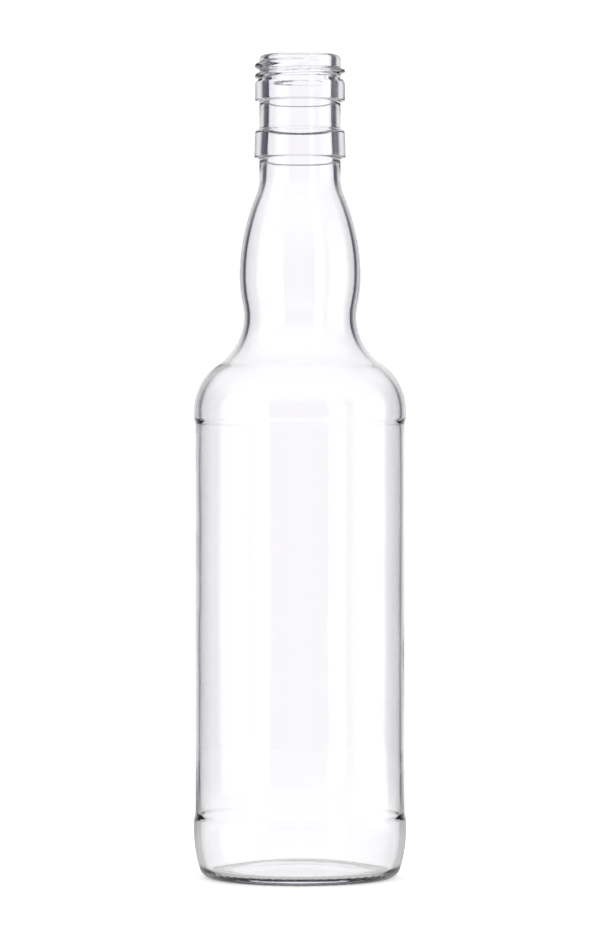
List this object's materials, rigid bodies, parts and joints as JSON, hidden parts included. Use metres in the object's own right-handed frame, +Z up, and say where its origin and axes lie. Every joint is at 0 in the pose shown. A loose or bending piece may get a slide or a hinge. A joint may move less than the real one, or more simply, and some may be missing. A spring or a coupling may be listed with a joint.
{
  "type": "spirit bottle",
  "caption": "Clear glass spirit bottle with a swelling neck, a recessed label panel and a screw-thread mouth, empty and without its closure.",
  "frame": {"origin": "centre of the foot's bearing ring, on the surface the bottle stands on", "axes": "+Z up along the bottle's axis to the mouth, with the thread's start and the two mould seams placed about it"},
  "size_m": [0.0748, 0.0748, 0.2901],
  "materials": {
    "flint_glass": "fire-polished clear flint glass, faintly wavy inside"
  },
  "bodies": {
    "root": {"bottle": "flint_glass"}
  },
  "joints": []
}
